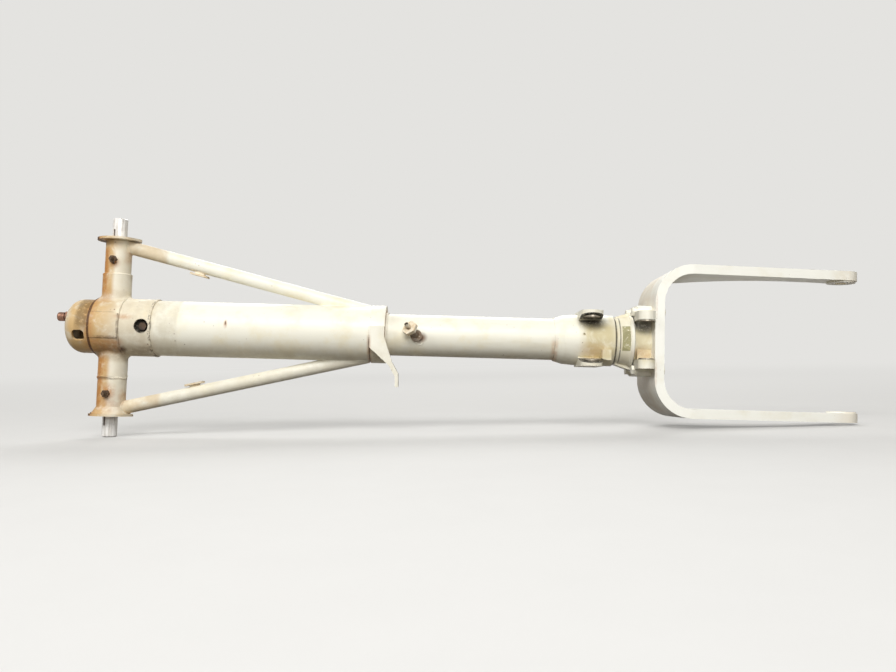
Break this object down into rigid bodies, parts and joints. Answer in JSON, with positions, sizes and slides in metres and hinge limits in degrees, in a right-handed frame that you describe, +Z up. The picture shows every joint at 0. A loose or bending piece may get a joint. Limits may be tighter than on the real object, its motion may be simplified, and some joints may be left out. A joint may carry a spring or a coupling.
{
  "type": "nose landing gear strut",
  "caption": "Air-oil nose gear strut: trunnion housing with diagonal braces, steering cylinder, torque link lugs, sliding piston and bolted flat-bar fork.",
  "frame": {"origin": "where the trunnion axis crosses the strut axis", "axes": "+X down the strut axis from the top cap to the fork tips, +Z up the trunnion axis, -Y the side with the torque link lugs"},
  "size_m": [1.1163, 0.12, 0.3048],
  "materials": {
    "housing_paint": "cream paint, stained and chipped",
    "cylinder_paint": "cream paint, stained",
    "fork_paint": "cream paint, semi-gloss",
    "bolt_paint": "white paint over bolts",
    "pin_steel": "polished",
    "fitting_steel": "bare, greasy",
    "link_bush_steel": "bright, worn",
    "bush_bronze": "machined",
    "bearing_bronze": "machined",
    "inner_steel": "machined",
    "piston_chrome": "hard chrome",
    "seal_rubber": "satin"
  },
  "bodies": {
    "housing": {"housing_tube": "housing_paint", "head_sleeve": "housing_paint", "trunnion_tube_upper": "housing_paint", "trunnion_tube_lower": "housing_paint", "trunnion_flange_upper": "housing_paint", "trunnion_flange_lower": "housing_paint", "trunnion_bush_upper": "bush_bronze", "trunnion_bush_lower": "bush_bronze", "brace_tube_upper": "housing_paint", "brace_tube_lower": "housing_paint", "brace_tab_upper": "housing_paint", "brace_tab_lower": "housing_paint", "lower_collar": "housing_paint", "hook_plate": "housing_paint", "grease_fittings": "fitting_steel", "steering_bearing_upper": "bearing_bronze", "steering_bearing_lower": "bearing_bronze", "bearing_retainer": "inner_steel"},
    "upper_pin": {"trunnion_pin_upper": "pin_steel", "pin_ring_upper": "inner_steel"},
    "lower_pin": {"trunnion_pin_lower": "pin_steel", "pin_ring_lower": "inner_steel"},
    "cylinder": {"cylinder_tube": "cylinder_paint", "thrust_ring": "cylinder_paint", "stop_bolt": "fitting_steel", "top_cap": "cylinder_paint", "air_valve": "fitting_steel", "side_valve": "fitting_steel", "torque_collar": "cylinder_paint", "upper_link_bushes": "link_bush_steel", "gland_bearing": "bearing_bronze", "gland_seal": "seal_rubber", "wiper_ring": "seal_rubber", "gland_nut": "cylinder_paint", "cylinder_head": "inner_steel", "orifice_tube": "inner_steel", "orifice_plate": "inner_steel"},
    "piston_bearing": {"piston_bearing": "bearing_bronze"},
    "piston": {"piston_tube": "piston_chrome", "bearing_rings": "inner_steel", "piston_plug": "inner_steel", "metering_pin": "inner_steel", "fork_fitting": "fork_paint", "lower_link_bushes": "link_bush_steel", "fork": "fork_paint", "axle_bosses": "fork_paint", "fork_bolts": "bolt_paint", "fork_washers": "bolt_paint", "fork_nuts": "bolt_paint"}
  },
  "joints": [
    {"name": "upper_pin_turn", "type": "hinge", "parent": "housing", "child": "upper_pin", "pos_m": [0, 0, 0.138], "axis": [0, 0, 1], "continuous": true},
    {"name": "lower_pin_turn", "type": "hinge", "parent": "housing", "child": "lower_pin", "pos_m": [0, 0, -0.138], "axis": [0, 0, 1], "continuous": true},
    {"name": "steering", "type": "hinge", "parent": "housing", "child": "cylinder", "pos_m": [0.18, 0, 0], "axis": [1, 0, 0], "range_deg": [-30, 30]},
    {"name": "piston_slide", "type": "slide", "parent": "cylinder", "child": "piston_bearing", "axis": [1, 0, 0], "range_m": [0, 0.15]},
    {"name": "piston_turn", "type": "hinge", "parent": "piston_bearing", "child": "piston", "pos_m": [0.4, 0, 0], "axis": [1, 0, 0], "continuous": true}
  ]
}
